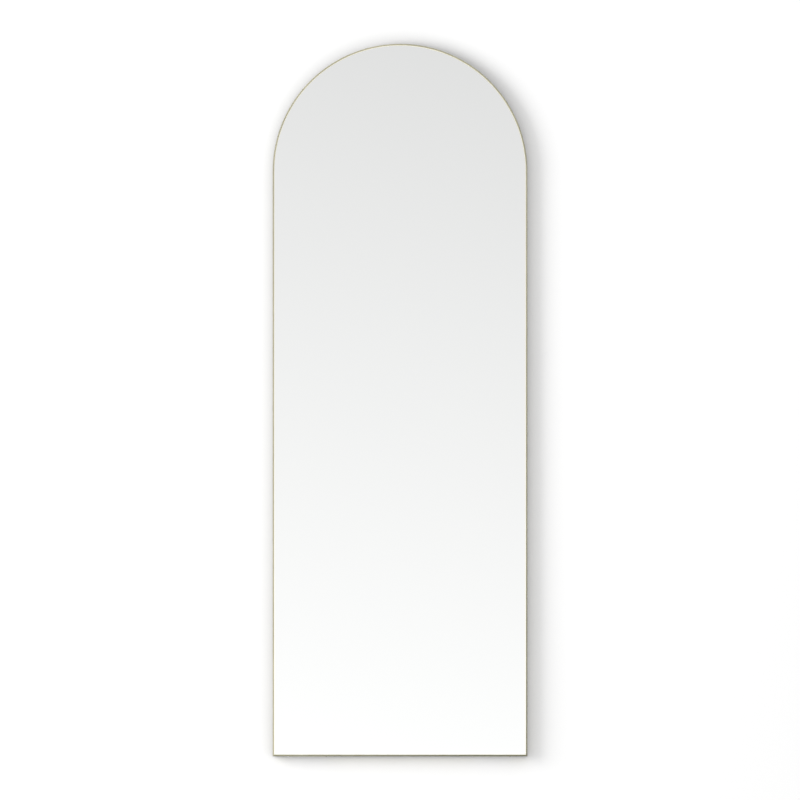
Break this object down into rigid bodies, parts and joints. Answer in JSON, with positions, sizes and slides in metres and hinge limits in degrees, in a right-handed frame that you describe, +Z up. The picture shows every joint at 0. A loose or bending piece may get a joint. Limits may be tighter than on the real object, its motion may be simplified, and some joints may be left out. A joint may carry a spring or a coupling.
{
  "type": "leaning floor mirror",
  "caption": "Full-length arched mirror in a slim brass-finished flat-bar frame, with rear hanging straps, swinging D rings, wall bumpers and floor pads.",
  "frame": {"origin": "on the floor, in the middle of the width and half-way from the frame's front edge to the wall bumpers' faces", "axes": "+Z up the mirror, -Y out of its face, +Y out of its back, +X to the right seen from the front"},
  "size_m": [0.61, 0.031, 1.708],
  "materials": {
    "brass_plated_steel": "pale brass plating, satin, grain along the bar",
    "mirror_glass": "silvered float glass, ground arris",
    "safety_film": "thin polyethylene film",
    "foam_tape": "closed-cell foam tape",
    "fibreboard": "medium-density fibreboard, bare",
    "zinc_plated_steel": "bright zinc plating",
    "black_rubber": "moulded, matt",
    "grey_rubber": "pale grey, soft, leaves no marks on a floor"
  },
  "bodies": {
    "mirror": {"frame_arch_band": "brass_plated_steel", "frame_sill": "brass_plated_steel", "corner_gusset_left": "brass_plated_steel", "corner_gusset_right": "brass_plated_steel", "arch_lugs": "brass_plated_steel", "left_jamb_lugs": "brass_plated_steel", "right_jamb_lugs": "brass_plated_steel", "sill_lugs": "brass_plated_steel", "mirror_glass": "mirror_glass", "safety_film": "safety_film", "bonding_tape": "foam_tape", "backing_board": "fibreboard", "board_screws": "zinc_plated_steel", "bumper_washers": "zinc_plated_steel", "bumper_screws": "zinc_plated_steel", "left_hanger_strap": "zinc_plated_steel", "left_hanger_screws": "zinc_plated_steel", "right_hanger_strap": "zinc_plated_steel", "right_hanger_screws": "zinc_plated_steel", "tether_hanger_strap": "zinc_plated_steel", "tether_hanger_screws": "zinc_plated_steel", "setting_pad_left": "black_rubber", "setting_pad_right": "black_rubber", "low_bumper_left": "black_rubber", "low_bumper_right": "black_rubber", "high_bumper_left": "black_rubber", "high_bumper_right": "black_rubber", "floor_pad_left": "grey_rubber", "floor_pad_right": "grey_rubber"},
    "left_ring": {"left_hanger_ring": "zinc_plated_steel"},
    "right_ring": {"right_hanger_ring": "zinc_plated_steel"},
    "tether_ring": {"tether_hanger_ring": "zinc_plated_steel"}
  },
  "joints": [
    {"name": "left_ring_swing", "type": "hinge", "parent": "mirror", "child": "left_ring", "pos_m": [-0.2398, 0.0059, 1.23], "axis": [1, 0, 0], "range_deg": [0, 180]},
    {"name": "right_ring_swing", "type": "hinge", "parent": "mirror", "child": "right_ring", "pos_m": [0.2398, 0.0059, 1.23], "axis": [1, 0, 0], "range_deg": [0, 180]},
    {"name": "tether_ring_swing", "type": "hinge", "parent": "mirror", "child": "tether_ring", "pos_m": [0, 0.0059, 1.6388], "axis": [1, 0, 0], "range_deg": [0, 180]}
  ]
}
